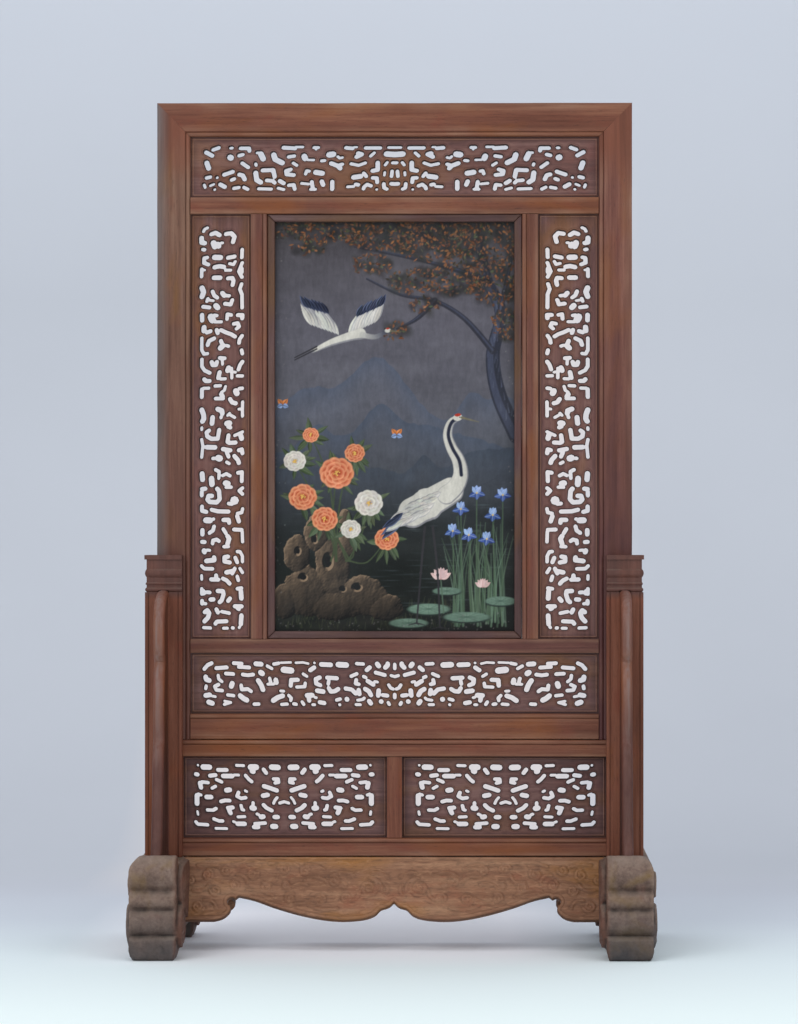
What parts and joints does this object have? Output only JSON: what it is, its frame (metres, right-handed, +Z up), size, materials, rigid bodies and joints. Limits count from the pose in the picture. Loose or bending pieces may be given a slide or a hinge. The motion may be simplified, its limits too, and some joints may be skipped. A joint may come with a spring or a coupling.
{
  "type": "table screen",
  "caption": "Free-standing table screen: a framed picture bordered by pierced scroll fretwork, lifting up out of the grooved posts of a carved two-footed stand.",
  "frame": {"origin": "on the floor, at the middle of the stand", "axes": "+X across the screen, +Y towards its back, +Z up"},
  "size_m": [0.515, 0.24, 0.843],
  "materials": {
    "frame_wood": "satin",
    "stand_wood": "satin",
    "fret_wood": "satin",
    "apron_wood": "satin",
    "foot_wood": "worn satin",
    "board_wood": "matt",
    "peg_wood": "matt",
    "painted_glass": "gloss",
    "brass": "aged"
  },
  "bodies": {
    "stand": {"left_foot": "foot_wood", "right_foot": "foot_wood", "left_post": "stand_wood", "right_post": "stand_wood", "upper_stretcher": "stand_wood", "lower_stretcher": "stand_wood", "centre_strut": "stand_wood", "left_base_fret": "fret_wood", "right_base_fret": "fret_wood", "front_apron": "apron_wood", "rear_apron": "apron_wood", "left_front_spandrel": "stand_wood", "right_front_spandrel": "stand_wood", "left_rear_spandrel": "stand_wood", "right_rear_spandrel": "stand_wood", "stand_pegs": "peg_wood"},
    "insert": {"left_stile": "frame_wood", "right_stile": "frame_wood", "top_rail": "frame_wood", "upper_cross_rail": "frame_wood", "lower_cross_rail": "frame_wood", "bottom_rail": "frame_wood", "left_mullion": "frame_wood", "right_mullion": "frame_wood", "top_fret": "fret_wood", "lower_fret": "fret_wood", "left_fret": "fret_wood", "right_fret": "fret_wood", "top_glazing_bead": "frame_wood", "bottom_glazing_bead": "frame_wood", "left_glazing_bead": "frame_wood", "right_glazing_bead": "frame_wood", "painted_glass": "painted_glass", "backing_board": "board_wood", "top_batten": "board_wood", "bottom_batten": "board_wood", "left_batten": "board_wood", "right_batten": "board_wood", "batten_pins": "brass", "frame_pegs": "peg_wood"}
  },
  "joints": [
    {"name": "insert_lift", "type": "slide", "parent": "stand", "child": "insert", "axis": [0, 0, 1], "range_m": [0, 0.19]}
  ]
}
